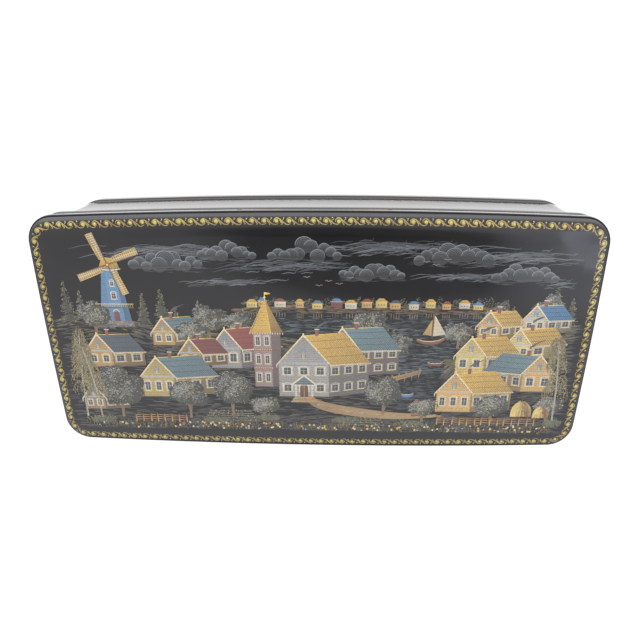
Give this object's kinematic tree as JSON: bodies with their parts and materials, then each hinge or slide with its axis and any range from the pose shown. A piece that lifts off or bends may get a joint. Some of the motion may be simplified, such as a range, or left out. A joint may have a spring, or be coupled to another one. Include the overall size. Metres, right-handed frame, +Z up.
{
  "type": "lacquer box",
  "caption": "Long lacquered papier-mache casket: moulded walls on a rounded foot, and a lid with a rolled edge and an inner lip, on a brass butt hinge let into the back.",
  "frame": {"origin": "middle of the base's underside, on the surface that the box stands on", "axes": "+X along the box to the right, +Y to the hinged back, +Z up to the lid"},
  "size_m": [0.24, 0.112, 0.05],
  "materials": {
    "black_lacquer": "papier-mache board under polished black lacquer",
    "red_lacquer": "papier-mache board under polished red lacquer",
    "brass": "plain drawn brass"
  },
  "bodies": {
    "body": {"body_wall": "black_lacquer", "base_board": "black_lacquer", "wall_leaf": "brass", "hinge_pin": "brass", "wall_nails": "brass"},
    "lid": {"lid_board": "black_lacquer", "lid_lip": "red_lacquer", "lid_leaf": "brass", "lid_nails": "brass"}
  },
  "joints": [
    {"name": "lid_hinge", "type": "hinge", "parent": "body", "child": "lid", "pos_m": [0, 0.0544, 0.0435], "axis": [-1, 0, 0], "range_deg": [0, 105]}
  ]
}
